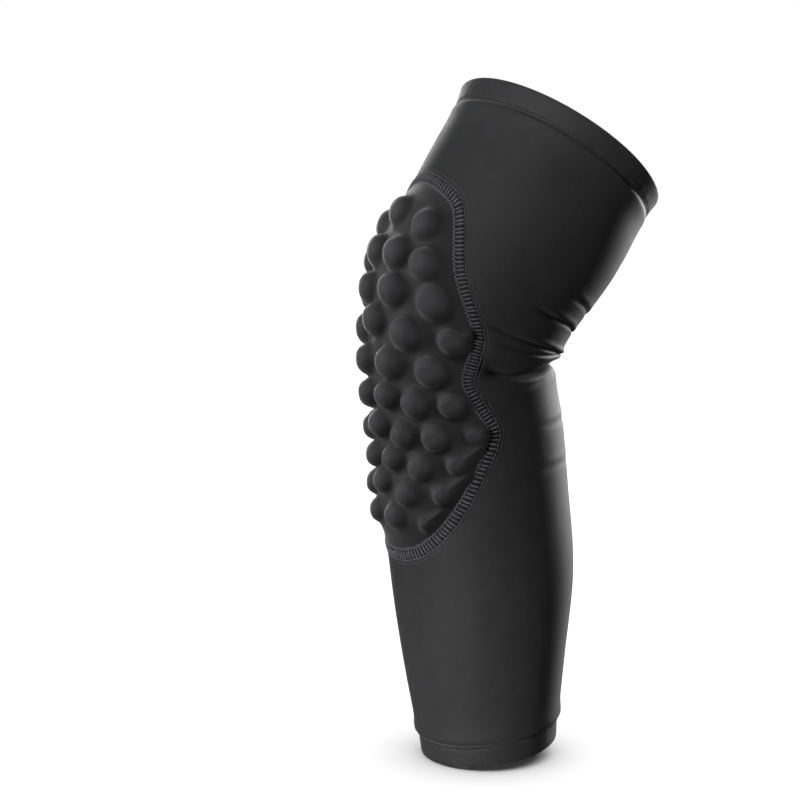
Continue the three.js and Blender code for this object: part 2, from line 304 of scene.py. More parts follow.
class Leg:
    """The form that fills the sleeve: a bent middle line with round sections about it."""

    STEP = 0.001
    ENDS = (-0.240, 0.150)

    def __init__(self, sizes):
        alongs = [row.along for row in SECTIONS]
        self.front = curve_through(alongs, [row.front for row in SECTIONS])
        self.back = curve_through(alongs, [row.back for row in SECTIONS])
        self.sizes = sizes
        first, last = (round(end / self.STEP) for end in self.ENDS)
        self.stations = np.arange(first, last + 1) * self.STEP
        between = (self.stations[1:] + self.stations[:-1]) / 2
        turns = np.diff(self.lean(self.stations))
        self.y = self.walk(self.STEP * np.sin(self.lean(between)))
        self.z = self.walk(self.STEP * np.cos(self.lean(between)))
        self.up = self.walk(self.STEP + turns * self.front(between))

    def walk(self, steps):
        """Running total of the steps, nought at the origin."""
        total = np.concatenate(([0.0], np.cumsum(steps)))
        return total - np.interp(0.0, self.stations, total)

    def lean(self, along):
        """Angle of the middle line from upright."""
        start = self.sizes.bend_middle - self.sizes.bend_reach
        bent = smooth((along - start) / (2 * self.sizes.bend_reach))
        return self.sizes.shin_lean + (self.sizes.thigh_lean - self.sizes.shin_lean) * bent

    def radius(self, along):
        """Radius of the round section."""
        return (self.front(along) + self.back(along)) / 2

    def points(self, along, angle, out):
        """Points along the leg, round from the front towards +X, and out from the surface."""
        reach = self.radius(along) + out
        behind = (self.back(along) - self.front(along)) / 2 - reach * np.cos(angle)
        lean = self.lean(along)
        y = np.interp(along, self.stations, self.y) + behind * np.cos(lean)
        z = np.interp(along, self.stations, self.z) - behind * np.sin(lean)
        return np.stack((reach * np.sin(angle), y, z), axis=-1)

    def settled(self, along, angle):
        """Places along the leg, moved with the rims towards the open ends."""
        back = (1 - np.cos(angle)) / 2
        below, above = LEVEL_STRETCH
        near_top = smooth((along - above) / (self.sizes.top_rim - above))
        near_bottom = smooth((below - along) / (below - self.sizes.bottom_rim))
        return along + near_top * (TOP_RIM.back * back) + near_bottom * (BOTTOM_RIM.back * back)

    def pattern_points(self, across, up, out):
        """Points of the pad's flat pattern, laid on the leg."""
        along = np.interp(up, self.up, self.stations)
        return self.points(along, across / self.radius(along), out)

    def pattern_of(self, along, angle):
        """The flat pattern's (across, up) of points on the leg."""
        return np.stack((angle * self.radius(along), np.interp(along, self.stations, self.up)), axis=-1)


class SeamLoop:
    """The closed line of the pad's seam in the flat pattern, measured along from its lowest point."""

    SAMPLES = 3000
    FINE_SAMPLES = 12000
    OVERLAP = 2

    def __init__(self, leg):
        self.leg = leg
        right = [(row.half, row.up) for row in PAD_OUTLINE]
        left = [(-half, up) for half, up in right[-2:0:-1]]
        corners = np.array(left[-self.OVERLAP :] + right + left + right[: self.OVERLAP + 1])
        lengths = lengths_along(corners)
        start, end = lengths[self.OVERLAP], lengths[self.OVERLAP + len(right) + len(left)]
        fine = np.linspace(start, end, self.FINE_SAMPLES)
        line = np.stack([curve_through(lengths, corners[:, k])(fine) for k in (0, 1)], axis=-1)
        walked = lengths_along(line)
        self.length = walked[-1]
        self.distances = np.linspace(0, self.length, self.SAMPLES + 1)
        self.line = np.stack([np.interp(self.distances, walked, line[:, k]) for k in (0, 1)], axis=-1)
        ahead = np.roll(self.line[:-1], -1, axis=0) - np.roll(self.line[:-1], 1, axis=0)
        ahead = ahead / np.linalg.norm(ahead, axis=1)[:, None]
        outward = np.stack((ahead[:, 1], -ahead[:, 0]), axis=-1)
        self.outward = np.concatenate((outward, outward[:1]))
        self.tree = kdtree.KDTree(self.SAMPLES)
        for i, (across, up) in enumerate(self.line[:-1]):
            self.tree.insert((across, up, 0), i)
        self.tree.balance()

    def pattern(self, distance, grow):
        """(across, up) at a distance along the seam, moved outwards by grow."""
        distance = np.mod(distance, self.length)
        place = [np.interp(distance, self.distances, self.line[:, k]) for k in (0, 1)]
        outward = [np.interp(distance, self.distances, self.outward[:, k]) for k in (0, 1)]
        return place[0] + grow * outward[0], place[1] + grow * outward[1]

    def points(self, distance, grow, out):
        """The same places on the leg, out from its surface."""
        across, up = self.pattern(distance, grow)
        return self.leg.pattern_points(across, up, out)

    def area(self):
        """Area of the flat pattern inside the seam's middle line."""
        across, up = self.line.T
        return abs(np.sum(across[:-1] * up[1:] - across[1:] * up[:-1])) / 2

    def depth(self, across, up):
        """How far inside the seam's middle line a point lies; outside it is negative."""
        _, i, gap = self.tree.find((across, up, 0))
        offset = Vector((across, up)) - Vector(self.line[i])
        return -gap if offset.dot(Vector(self.outward[i])) > 0 else gap


class Socket:
    """An output of a node; arithmetic with it adds Math nodes."""

    def __init__(self, nodes, socket):
        self.nodes = nodes
        self.socket = socket

    def maths(self, operation, first, second):
        return self.nodes.node("ShaderNodeMath", {"operation": operation}, {0: first, 1: second})

    def __add__(self, other):
        return self.maths("ADD", self, other)

    def __radd__(self, other):
        return self.maths("ADD", other, self)

    def __sub__(self, other):
        return self.maths("SUBTRACT", self, other)

    def __rsub__(self, other):
        return self.maths("SUBTRACT", other, self)

    def __mul__(self, other):
        return self.maths("MULTIPLY", self, other)

    def __rmul__(self, other):
        return self.maths("MULTIPLY", other, self)

    def sine(self):
        return self.maths("SINE", self, 0.0)


class Nodes:
    """A tree of shader nodes while it is put together."""

    def __init__(self, tree):
        self.tree = tree

    def node(self, kind, settings=None, inputs=None, output=0):
        """Adds a node, sets it up, feeds its sockets and gives one of its outputs."""
        made = self.tree.nodes.new(kind)
        for name, value in (settings or {}).items():
            setattr(made, name, value)
        for name, value in (inputs or {}).items():
            self.feed(made.inputs[name], value)
        return Socket(self, made.outputs[output])

    def feed(self, socket, value):
        if isinstance(value, Socket):
            self.tree.links.new(value.socket, socket)
        else:
            socket.default_value = value


class Finish(Nodes):
    """A procedural material while it is made."""

    def __init__(self, name):
        self.material = bpy.data.materials.new(name)
        self.material.use_nodes = True
        super().__init__(self.material.node_tree)
        self.shader = self.tree.nodes["Principled BSDF"]

    def surface(self, **inputs):
        """Feeds the shader's sockets, named with _ for a space."""
        for name, value in inputs.items():
            self.feed(self.shader.inputs[name.replace("_", " ")], value)

    def mix(self, share, first, second):
        """A colour between two colours."""
        settings = {"data_type": "RGBA"}
        return self.node("ShaderNodeMix", settings, {0: share, 6: first, 7: second}, output=2)

    def speckle(self, place, grain):
        """Soft random grain over a place."""
        inputs = {"Vector": place, "Scale": grain.scale, "Detail": grain.detail}
        return self.node("ShaderNodeTexNoise", {"noise_dimensions": "3D"}, inputs)

    def relief(self, height, distance):
        """A normal that follows fine relief."""
        inputs = {"Strength": RELIEF_STRENGTH, "Distance": distance, "Height": height}
        return self.node("ShaderNodeBump", None, inputs)


def shade(colour, light):
    """A colour made lighter or darker, with an alpha for a socket."""
    return (*(channel * light for channel in colour), 1.0)


# Knits: distance between the ribs, depth of the relief, roughness, sheen, and whether they get painted
# shade that is dark in the hollows between bumps and pale on their tops
Knit = namedtuple("Knit", "wale relief roughness sheen stretched")
SLEEVE_KNIT = Knit(0.00045, 0.00007, 0.56, 0.10, False)
PAD_KNIT = Knit(0.00050, 0.00007, 0.58, 0.18, True)

# Threads: lightness as a share of the colour, and shine
Thread = namedtuple("Thread", "light shine")
HEM_THREAD = Thread(1.0, 0.2)
SEAM_TAPE = Thread(0.3, 0.05)
SEAM_THREAD = Thread(1.95, 0.25)

# Grain in cloth and thread: how fine it is, and how many finer layers it has
Grain = namedtuple("Grain", "scale detail")
KNIT_CLOUD = Grain(90.0, 3.0)
KNIT_GRAIN = Grain(900.0, 1.0)
THREAD_STRAND = Grain(2600.0, 2.0)
THREAD_PATCH = Grain(70.0, 2.0)
RELIEF_STRENGTH = 0.5

# The knit: its darkest and lightest shade, the cloud's share in that, and how much of it the painted shade
# by height takes over, dark in the hollows and pale on the tops
KNIT_SHADES = (0.40, 1.10)
KNIT_CLOUD_SHARE = 0.55
PAINTED_SHADE_SHARE = 0.76

# Its loops: their length in ribs and how they waver; the shares of ribs, loops and grain in the relief; and
# what cloud and loops add to the roughness
LOOP_LENGTH = 0.8
LOOP_WAVER = 0.6
KNIT_RELIEF = (0.35, 0.35, 0.6)
KNIT_ROUGHENS = (0.16, 0.06)
KNIT_SHEEN_ROUGHNESS = 0.45
KNIT_GLOSS = 0.22

# The thread: its darkest and lightest shade, relief, roughness and what strands add to it, and sheen
THREAD_SHADES = (0.65, 1.35)
THREAD_RELIEF = 0.00008
THREAD_ROUGHNESS = 0.5
THREAD_ROUGHENS = 0.2
THREAD_SHEEN = 0.4


def knit_finish(name, colour, knit):
    """Fine stretch knit: ribs along the cloth, rows of loops across them, and slight unevenness.

    Where asked, it has painted shade: paler on the foam's tops than in the hollows between them.
    """
    finish = Finish(name)
    cloth = {"Vector": finish.node("ShaderNodeUVMap", {"uv_map": "cloth"})}
    across = finish.node("ShaderNodeSeparateXYZ", None, cloth, output=0)
    up = finish.node("ShaderNodeSeparateXYZ", None, cloth, output=1)
    ribs = (across * (2 * math.pi / knit.wale)).sine()
    loops = (up * (2 * math.pi / (LOOP_LENGTH * knit.wale)) + ribs * LOOP_WAVER).sine()
    place = finish.node("ShaderNodeTexCoord", output="Object")
    cloud = finish.speckle(place, KNIT_CLOUD)
    grain = finish.speckle(place, KNIT_GRAIN)
    fleck = cloud * KNIT_CLOUD_SHARE + grain * (1 - KNIT_CLOUD_SHARE)
    # Painted shade: darker in the hollows between the bumps and paler on their tops, from the pad's rise
    if knit.stretched:
        rise = finish.node("ShaderNodeAttribute", {"attribute_name": "rise"}, output="Fac")
        fleck = fleck * (1 - PAINTED_SHADE_SHARE) + rise * PAINTED_SHADE_SHARE
    dark, pale = (shade(colour, light) for light in KNIT_SHADES)
    rib_share, loop_share, grain_share = KNIT_RELIEF
    cloud_roughens, loops_roughen = KNIT_ROUGHENS
    finish.surface(
        Base_Color=finish.mix(fleck, dark, pale),
        Roughness=knit.roughness + cloud_roughens * cloud + loops_roughen * loops,
        Normal=finish.relief(ribs * rib_share + loops * loop_share + grain * grain_share, knit.relief),
        Sheen_Weight=knit.sheen,
        Sheen_Roughness=KNIT_SHEEN_ROUGHNESS,
        Specular_IOR_Level=KNIT_GLOSS,
    )
    return finish.material


def thread_finish(name, colour, thread):
    """Twisted sewing thread with a soft gloss."""
    finish = Finish(name)
    place = finish.node("ShaderNodeTexCoord", output="Object")
    strand = finish.speckle(place, THREAD_STRAND)
    patch = finish.speckle(place, THREAD_PATCH)
    dark, pale = (shade(colour, light * thread.light) for light in THREAD_SHADES)
    finish.surface(
        Base_Color=finish.mix(0.5 * strand + 0.5 * patch, dark, pale),
        Roughness=THREAD_ROUGHNESS + THREAD_ROUGHENS * strand,
        Normal=finish.relief(strand, THREAD_RELIEF),
        Sheen_Weight=THREAD_SHEEN * thread.shine,
        Specular_IOR_Level=thread.shine,
    )
    return finish.material


# Vertices nearer than this are joined into one
MERGE_DISTANCE = 0.00001


def flat_grid(columns, rows):
    """A grid from (0, 0) to (1, 1), and the flat places of its vertices."""
    bm = bmesh.new()
    bmesh.ops.create_grid(bm, x_segments=columns, y_segments=rows, size=0.5)
    bmesh.ops.translate(bm, verts=bm.verts, vec=(0.5, 0.5, 0))
    places = np.array([vert.co for vert in bm.verts])
    return bm, places[:, 0], places[:, 1]


def move_to(verts, points):
    """Puts each vertex at its point."""
    for vert, point in zip(verts, points):
        vert.co = point


def join(parts):
    """One bmesh from several."""
    whole = bmesh.new()
    for part in parts:
        mesh = bpy.data.meshes.new("part")
        part.to_mesh(mesh)
        part.free()
        whole.from_mesh(mesh)
        bpy.data.meshes.remove(mesh)
    return whole


def close_up(bm):
    """Joins edges that meet and turns every face outwards."""
    bmesh.ops.remove_doubles(bm, verts=bm.verts, dist=MERGE_DISTANCE)
    bmesh.ops.recalc_face_normals(bm, faces=bm.faces)


def lay_cloth(bm, pattern):
    """Keeps each vertex's place in the flat cloth as a UV map."""
    layer = bm.loops.layers.uv.new("cloth")
    bm.verts.index_update()
    for face in bm.faces:
        for loop in face.loops:
            loop[layer].uv = pattern[loop.vert.index]


def finish_piece(bm, name, material, node=None):
    """Makes the mesh an object that rides with the part."""
    mesh = bpy.data.meshes.new(name)
    bm.to_mesh(mesh)
    bm.free()
    mesh.shade_smooth()
    mesh.materials.append(material)
    piece = bpy.data.objects.new(name, mesh)
    bpy.context.scene.collection.objects.link(piece)
    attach(piece, BODY)
    if node:
        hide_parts(node)
    return piece


def fold_shift(along, angle):
    """How the folds move the cloth: out from the leg and down along it."""
    turn = np.abs(angle)
    sway = np.where(angle < 0, SWAY * np.sin(SWAY_WAVES * angle), 0.0)
    out = np.zeros_like(along)
    down = np.zeros_like(along)
    for fold in FOLDS:
        start, end = math.radians(fold.start), math.radians(fold.end)
        strength = smooth((turn - start) / FOLD_FADE)
        if fold.end < 180:
            strength = strength * (1 - smooth((turn - end + FOLD_FADE) / FOLD_FADE))
        away = (along - sway - curve_through(FOLD_ANGLES, fold.places)(turn)) / fold.width
        out -= strength * fold.depth * np.exp(-(away**2))
        out += strength * fold.roll * np.exp(-((away - ROLL_ABOVE) ** 2))
        down += strength * fold.hang * np.exp(-((away - HANG_ABOVE) ** 2))
    return out, down


# The sleeve's grid, with most of its rows where the folds are, and the cloth's slight unevenness
SLEEVE_COLUMNS = 176
SLEEVE_ROWS = 262
SLEEVE_ROW_SHARES = (0.0, 0.300, 0.892, 1.0)
FOLD_ZONE = (-0.072, 0.066)
CLOTH_UNEVEN = 0.00022
CLOTH_UNEVEN_SCALE = 26.0

# Where the sleeve meets a hem: the groove, the overlap, the roll beside it and how far the flare reaches
HEM_GROOVE = 0.0008
HEM_GROOVE_REACH = 0.0022
HEM_OVERLAP = 0.0006
HEM_ROLL_PLACE = 0.0025
HEM_ROLL_REACH = 0.005
FLARE_REACH = 0.030


def hem_pinch(rim, angle):
    """How tightly a hem grips round the leg: most at the front and back."""
    return rim.side_pinch + (1 - rim.side_pinch) * np.cos(angle) ** 2


def rim_flare(rim, to_rim):
    """How far the cloth opens out near a rim."""
    return rim.flare * np.clip(1 - to_rim / FLARE_REACH, 0, 1) ** 2


def sleeve_mesh(leg, loop, sizes):
    """The leg tube from hem to hem, with the folds, and open where the pad is."""
    bm, x, y = flat_grid(SLEEVE_COLUMNS, SLEEVE_ROWS)
    bottom = sizes.bottom_rim + sizes.hem_height - HEM_OVERLAP
    top = sizes.top_rim - sizes.hem_height + HEM_OVERLAP
    angle = (2 * x - 1) * math.pi
    along = np.interp(y, SLEEVE_ROW_SHARES, (bottom, *FOLD_ZONE, top))
    lay_cloth(bm, np.stack((angle * leg.radius(0.0), along), axis=-1))
    pattern = leg.pattern_of(along, angle)
    inside = np.array([loop.depth(*place) > 0 for place in pattern])
    out, down = fold_shift(along, angle)
    plain = leg.points(along, angle, 0 * along)
    out += [CLOTH_UNEVEN * noise.noise(CLOTH_UNEVEN_SCALE * Vector(point)) for point in plain]
    for rim, to_hem in ((BOTTOM_RIM, along - bottom), (TOP_RIM, top - along)):
        groove = HEM_GROOVE * (1 - smooth(to_hem / HEM_GROOVE_REACH))
        roll = rim.roll * np.exp(-(((to_hem - HEM_ROLL_PLACE) / HEM_ROLL_REACH) ** 2))
        out += hem_pinch(rim, angle) * (roll - groove) + rim_flare(rim, to_hem + sizes.hem_height)
    points = leg.points(leg.settled(along, angle) - down, angle, out)
    for i in np.flatnonzero(inside):
        _, nearest, _ = loop.tree.find((*pattern[i], 0))
        points[i] = loop.points(loop.distances[nearest], 0.0, 0.0)
    move_to(bm.verts, points)
    hole = [face for face in bm.faces if all(inside[vert.index] for vert in face.verts)]
    bmesh.ops.delete(bm, geom=hole, context="FACES")
    bmesh.ops.remove_doubles(bm, verts=bm.verts, dist=MERGE_DISTANCE)
    return bm


# A bump's fall from its top, as a power that is lower near the front line and higher beyond the given
# reach; how square a bump is, and the turn of its corners
BUMP_ROUND = 2.5
BUMP_FLAT = 4.2
BUMP_ROUND_REACH = 0.024
BUMP_SQUARENESS = 2.15
BUMP_TURN = math.radians(24)

# How far a bump's foot is sunk, its room from the seam, how much it is narrowed because the leg is round,
# and how much bumps vary
BUMP_SUNK = 0.0012
BUMP_SEAM_MARGIN = 0.0006
BUMP_SPREAD = 0.3
BUMP_VARIES = 0.0005
BUMP_SEED = 7

# A ridge's fall to its sides, and the share of the height that it loses on its way out
RIDGE_SLOPE = 1.05
RIDGE_DROP = 0.36

# The cover: its cells, rounds of easing, bond to the foam inside and at the seam and the distance between
# these, its end inside the seam's middle, and the share of the bumps' rise at which its painted shade is
# palest
COVER_CELL = 0.00085
COVER_STEPS = 500
COVER_BOND = 0.16
COVER_BOND_EDGE = 0.003
COVER_BOND_REACH = 0.034
COVER_MARGIN = 0.002
PAINTED_PALEST_RISE = 0.6
Bump = namedtuple("Bump", "across up radius height ridge")


def foam_bumps(loop, sizes):
    """Every bump of the lattice; one that the seam crowds is smaller and lower."""
    chance = random.Random(BUMP_SEED)
    for row in BUMP_ROWS:
        for across in np.linspace(-row.reach, row.reach, row.count):
            place = row.up + ROW_ARCH * (1 - smooth(abs(across) / ROW_ARCH_REACH))
            room = loop.depth(across, place) - sizes.seam_width / 2 - BUMP_SEAM_MARGIN
            drawn_out = row.ridge_out and abs(across) == row.reach
            radius = min(row.radius, room) * (row.edge_share if drawn_out else 1)
            height = sizes.base + (row.height - sizes.base) * min(room / row.radius, 1)
            ridge = Vector((0, 0))
            if drawn_out:
                ridge = Vector((math.copysign(row.ridge_out, across), row.ridge_up))
            yield Bump(
                across + chance.uniform(-BUMP_VARIES, BUMP_VARIES),
                place + chance.uniform(-BUMP_VARIES, BUMP_VARIES),
                radius + chance.uniform(-BUMP_VARIES, 0),
                height + chance.uniform(-BUMP_VARIES, BUMP_VARIES),
                ridge,
            )


def ridge_heights(bump, across, up):
    """Height of the tent over the ridge that is drawn out from a bump."""
    beside, above = across - bump.across, up - bump.up
    run = (beside * bump.ridge.x + above * bump.ridge.y) / bump.ridge.length_squared
    run = np.clip(run, 0, 1)
    aside = np.hypot(beside - run * bump.ridge.x, above - run * bump.ridge.y)
    return bump.height * (1 - RIDGE_DROP * run) - RIDGE_SLOPE * aside


def foam_heights(leg, loop, sizes, across, up, depth):
    """Height of the bare foam over the flat pattern."""
    shoulder = smooth((depth - sizes.seam_width / 2) / sizes.shoulder)
    foam = sizes.edge + (sizes.base - sizes.edge) * shoulder
    foot = sizes.edge - BUMP_SUNK
    for bump in foam_bumps(loop, sizes):
        girth = leg.radius(np.interp(bump.up, leg.up, leg.stations))
        spread = 1 + BUMP_SPREAD * bump.height / girth
        aside, above = (across - bump.across) * spread, up - bump.up
        along = np.abs(aside * math.cos(BUMP_TURN) + above * math.sin(BUMP_TURN))
        over = np.abs(above * math.cos(BUMP_TURN) - aside * math.sin(BUMP_TURN))
        distance = (along**BUMP_SQUARENESS + over**BUMP_SQUARENESS) ** (1 / BUMP_SQUARENESS)
        aslant = smooth(abs(bump.across) / BUMP_ROUND_REACH - 1)
        flatness = BUMP_ROUND + (BUMP_FLAT - BUMP_ROUND) * aslant
        rise = np.sqrt(1 - np.minimum(distance / bump.radius, 1) ** flatness)
        foam = np.maximum(foam, foot + (bump.height - foot) * rise)
        if bump.ridge.length > 0:
            foam = np.maximum(foam, ridge_heights(bump, across, up))
    return foam


def cover_heights(foam, depth, sizes):
    """The cover's height: a taut cloth on the foam, bonded to it, less so near the seam."""
    bond = COVER_BOND_EDGE + (COVER_BOND - COVER_BOND_EDGE) * smooth(depth / COVER_BOND_REACH)
    pinned = depth < sizes.seam_width / 2
    cover = np.where(pinned, sizes.edge, foam)
    for _ in range(COVER_STEPS):
        around = np.zeros_like(cover)
        for axis in (0, 1):
            around += np.roll(cover, 1, axis) + np.roll(cover, -1, axis)
        eased = (1 - bond) * around / 4 + bond * foam
        cover = np.where(pinned, sizes.edge, np.maximum(eased, foam))
    return cover


def add_back(bm, number, behind):
    """Gives the pad a plain back, with its points by number, and joins it to the cover's edge."""
    copied = bmesh.ops.duplicate(bm, geom=list(bm.verts) + list(bm.edges) + list(bm.faces))["geom"]
    for vert in copied:
        if isinstance(vert, bmesh.types.BMVert):
            vert.co = behind[vert[number]]
    bmesh.ops.bridge_loops(bm, edges=[edge for edge in bm.edges if edge.is_boundary])
    bmesh.ops.recalc_face_normals(bm, faces=bm.faces)


def pad_mesh(leg, loop, sizes, fabric):
    """The bumped pad: the taut cover in front, with painted shade in its hollows, and a plain back against
    the leg.
    """
    low = loop.line.min(axis=0) - 2 * COVER_CELL
    high = loop.line.max(axis=0) + 2 * COVER_CELL
    columns, rows = (int(round(span / COVER_CELL)) for span in high - low)
    bm, x, y = flat_grid(columns, rows)
    across = low[0] + x * (high[0] - low[0])
    up = low[1] + y * (high[1] - low[1])
    depth = np.array([loop.depth(*place) for place in zip(across, up)])
    order = np.lexsort((x, np.round(y * rows)))
    lattice = [values[order].reshape(rows + 1, columns + 1) for values in (across, up, depth)]
    foam = foam_heights(leg, loop, sizes, *lattice)
    height = np.empty_like(depth)
    height[order] = cover_heights(foam, lattice[2], sizes).ravel()
    outside = depth < COVER_MARGIN
    for i in np.flatnonzero(outside):
        _, nearest, _ = loop.tree.find((across[i], up[i], 0))
        across[i], up[i] = loop.pattern(loop.distances[nearest], -COVER_MARGIN)
        height[i] = 0.0
    number = bm.verts.layers.int.new("number")
    # The rise carries the cover's painted shade: dark in the hollows, palest from a share of the bumps'
    # rise up
    rise = bm.verts.layers.float.new("rise")
    rises = smooth((height - sizes.base) / (PAINTED_PALEST_RISE * (height.max() - sizes.base)))
    for i, vert in enumerate(bm.verts):
        vert[number] = i
        vert[rise] = rises[i]
    lay_cloth(bm, np.stack((across, up), axis=-1))
    move_to(bm.verts, leg.pattern_points(across, up, height))
    beyond = [face for face in bm.faces if all(outside[vert[number]] for vert in face.verts)]
    bmesh.ops.delete(bm, geom=beyond, context="FACES")
    add_back(bm, number, leg.pattern_points(across, up, 0 * height - fabric))
    return bm


# The tape's steps along the seam, and its section: shares of the half width and of the seam's height
SEAM_STEPS = 640
TAPE_SECTION = ((-1.0, 0.1), (-0.9, 0.5), (-0.45, 0.65), (0.45, 0.65), (0.9, 0.5), (1.0, 0.1), (0.0, 0.08))


def tape_mesh(loop, sizes, fabric):
    """The two tapes under the stitches, one outside and one against the leg."""
    shares = np.linspace(0, 1, len(TAPE_SECTION) + 1)
    section = np.array(TAPE_SECTION + TAPE_SECTION[:1])
    tapes = []
    for side in (1, -1):
        tape, x, y = flat_grid(SEAM_STEPS, len(TAPE_SECTION))
        grow = np.interp(y, shares, section[:, 0]) * sizes.seam_width / 2
        rise = np.interp(y, shares, section[:, 1]) * sizes.seam_proud
        out = rise if side > 0 else -fabric - rise
        move_to(tape.verts, loop.points(x * loop.length, grow, out))
        tapes.append(tape)
    bm = join(tapes)
    close_up(bm)
    return bm


# A stitch's form: sides and rings of the ball it is drawn from, how full its ends are, how flat the thread
# is, the thinnest ring that is drawn out, and what a height weighs beside an angle in the ball's order
STITCH_SIDES = 6
STITCH_RINGS = 8
STITCH_FULLNESS = 6
THREAD_FLATNESS = 0.85
THIN_RING = 0.001
HEIGHT_WEIGHS = 100


def ball_order(point):
    """A number that grows with a point's height on the ball, and round each ring."""
    return HEIGHT_WEIGHS * point.z + math.atan2(point.y, point.x)


def stitch_mesh(starts, ends, base, arch, thick, lay):
    """Threads from start to end on flat cloth, each drawn from a ball and arched over the cloth."""
    ball = bmesh.new()
    bmesh.ops.create_uvsphere(ball, u_segments=STITCH_SIDES, v_segments=STITCH_RINGS, radius=1)
    # The ball's vertices and faces come in an order that changes from run to run
    ball.verts.sort(key=lambda vert: ball_order(vert.co))
    ball.faces.sort(key=lambda face: ball_order(face.calc_center_median()))
    unit = np.array([vert.co for vert in ball.verts])
    mesh = bpy.data.meshes.new("stitch")
    ball.to_mesh(mesh)
    ball.free()
    run = np.clip(unit[:, 2], -1, 1)
    ring = np.maximum(np.hypot(unit[:, 0], unit[:, 1]), THIN_RING)
    body = thick * np.sqrt(1 - run**STITCH_FULLNESS) / ring
    half = (ends - starts) / 2
    aside = np.stack((-half[:, 1], half[:, 0]), axis=-1) / np.linalg.norm(half, axis=1)[:, None]
    flat = (starts + half)[:, None] + run[None, :, None] * half[:, None]
    flat = flat + (body * unit[:, 0])[None, :, None] * aside[:, None]
    out = base + arch * (1 - run**2) + THREAD_FLATNESS * body * unit[:, 1]
    bm = bmesh.new()
    for _ in starts:
        bm.from_mesh(mesh)
    bpy.data.meshes.remove(mesh)
    move_to(bm.verts, lay(flat[:, :, 0].ravel(), flat[:, :, 1].ravel(), np.tile(out, len(starts))))
    bmesh.ops.recalc_face_normals(bm, faces=bm.faces)
    return bm


# The seam's stitches: slant, variation, and their rise and arch as shares of the seam's height
STITCH_SLANT = 0.0006
STITCH_VARIES = 0.00024
STITCH_SEED = 11
STITCH_RISE = 0.55
STITCH_ARCH = 0.3
LINE_RISE = 0.2

# Places across the seam, as shares of its width from the middle outwards
RUNG_SPAN = (-0.27, 0.43)
LOOP_REACH = -0.57
EDGE_PLACE = 0.51
GUIDE_PLACE = 0.80

# Thickness of each kind, as a share of the seam's thread
RUNG_THICK = 1.3
LOOP_THICK = 0.85
EDGE_THICK = 0.8
GUIDE_THICK = 0.24


def seam_stitch_mesh(loop, sizes):
    """Cross stitches like a ladder, pointed loops on the pad's side, and two lines of thread outside."""
    chance = random.Random(STITCH_SEED)
    count = round(loop.length / sizes.stitch_pitch)
    pitch = loop.length / count
    middles = pitch * np.arange(count)
    varies = np.array([[chance.uniform(-1, 1) for _ in range(3)] for _ in range(count)]) * STITCH_VARIES
    rungs = middles + varies[:, 0]
    near, far = (share * sizes.seam_width for share in RUNG_SPAN)
    tip = LOOP_REACH * sizes.seam_width

    def threads(start, start_out, end, end_out, thick, rise):
        starts = np.stack((start, start_out + varies[:, 1]), axis=-1)
        ends = np.stack((end, end_out + varies[:, 2]), axis=-1)
        base, arch = rise * sizes.seam_proud, STITCH_ARCH * sizes.seam_proud
        return stitch_mesh(starts, ends, base, arch, thick * sizes.thread, loop.points)

    slant = STITCH_SLANT / 2
    parts = [threads(rungs - slant, near, rungs + slant, far, RUNG_THICK, STITCH_RISE)]
    for turn in (-pitch / 2, pitch / 2):
        parts.append(threads(rungs, near, rungs + turn, tip, LOOP_THICK, STITCH_RISE))
    for place, thick in ((EDGE_PLACE, EDGE_THICK), (GUIDE_PLACE, GUIDE_THICK)):
        out = place * sizes.seam_width
        parts.append(threads(middles - pitch / 2, out, middles + pitch / 2, out, thick, LINE_RISE * thick))
    return join(parts)


# A hem: columns round it, its step in from the sleeve, and its section from there on: the lip, the channel
# of its stitches, the flat outside up to the fold at the rim, and the inside back from there; the rows of
# the lip and the channel are place and depth
HEM_COLUMNS = 192
HEM_STEP = 0.00012
HEM_LIP = 0.0007
HEM_LIP_ROWS = ((0.0, 1.0), (0.4, 0.3), (1.0, 0.0))
HEM_CHANNEL = 0.0026
HEM_CHANNEL_DEPTH = 0.00035
HEM_CHANNEL_ROWS = ((-0.0008, 0.0), (-0.0004, 0.7), (0.0, 1.0), (0.0004, 0.7), (0.0008, 0.0))
HEM_OUTSIDE_SHARES = (0.4, 0.6, 0.8)
HEM_FOLD_POINTS = 7
HEM_INSIDE_SHARES = (0.7, 0.35, 0.0)

# Puckers by the stitches: height, number round the hem, groups they come in, and reach from the channel
HEM_PUCKER = 0.00010
HEM_PUCKERS = 46
HEM_PUCKER_GROUPS = 3
HEM_PUCKER_REACH = 0.004

# A hem's stitches: distance between them, share of it that a stitch reaches to each side, arch, thickness
HEM_STITCH_PITCH = 0.0027
HEM_STITCH_REACH = 0.42
HEM_STITCH_ARCH = 0.0002
HEM_STITCH_THICK = 0.00022


def hem_section(sizes, pinch):
    """The doubled band's section: distance from the sleeve, and out from the leg."""
    outer = -HEM_STEP - sizes.hem_inset * pinch
    inner = outer - sizes.hem_thickness
    fold = sizes.hem_thickness / 2
    rim = sizes.hem_height - fold
    section = [(share * HEM_LIP, outer - dip * HEM_LIP * pinch) for share, dip in HEM_LIP_ROWS]
    for aside, dip in HEM_CHANNEL_ROWS:
        section.append((HEM_CHANNEL + aside, outer - dip * HEM_CHANNEL_DEPTH * pinch))
    section += [(share * rim, outer) for share in HEM_OUTSIDE_SHARES]
    for turn in np.linspace(0, math.pi, HEM_FOLD_POINTS):
        section.append((rim + fold * math.sin(turn), outer - fold + fold * math.cos(turn)))
    section += [(share * rim, inner) for share in HEM_INSIDE_SHARES]
    return section


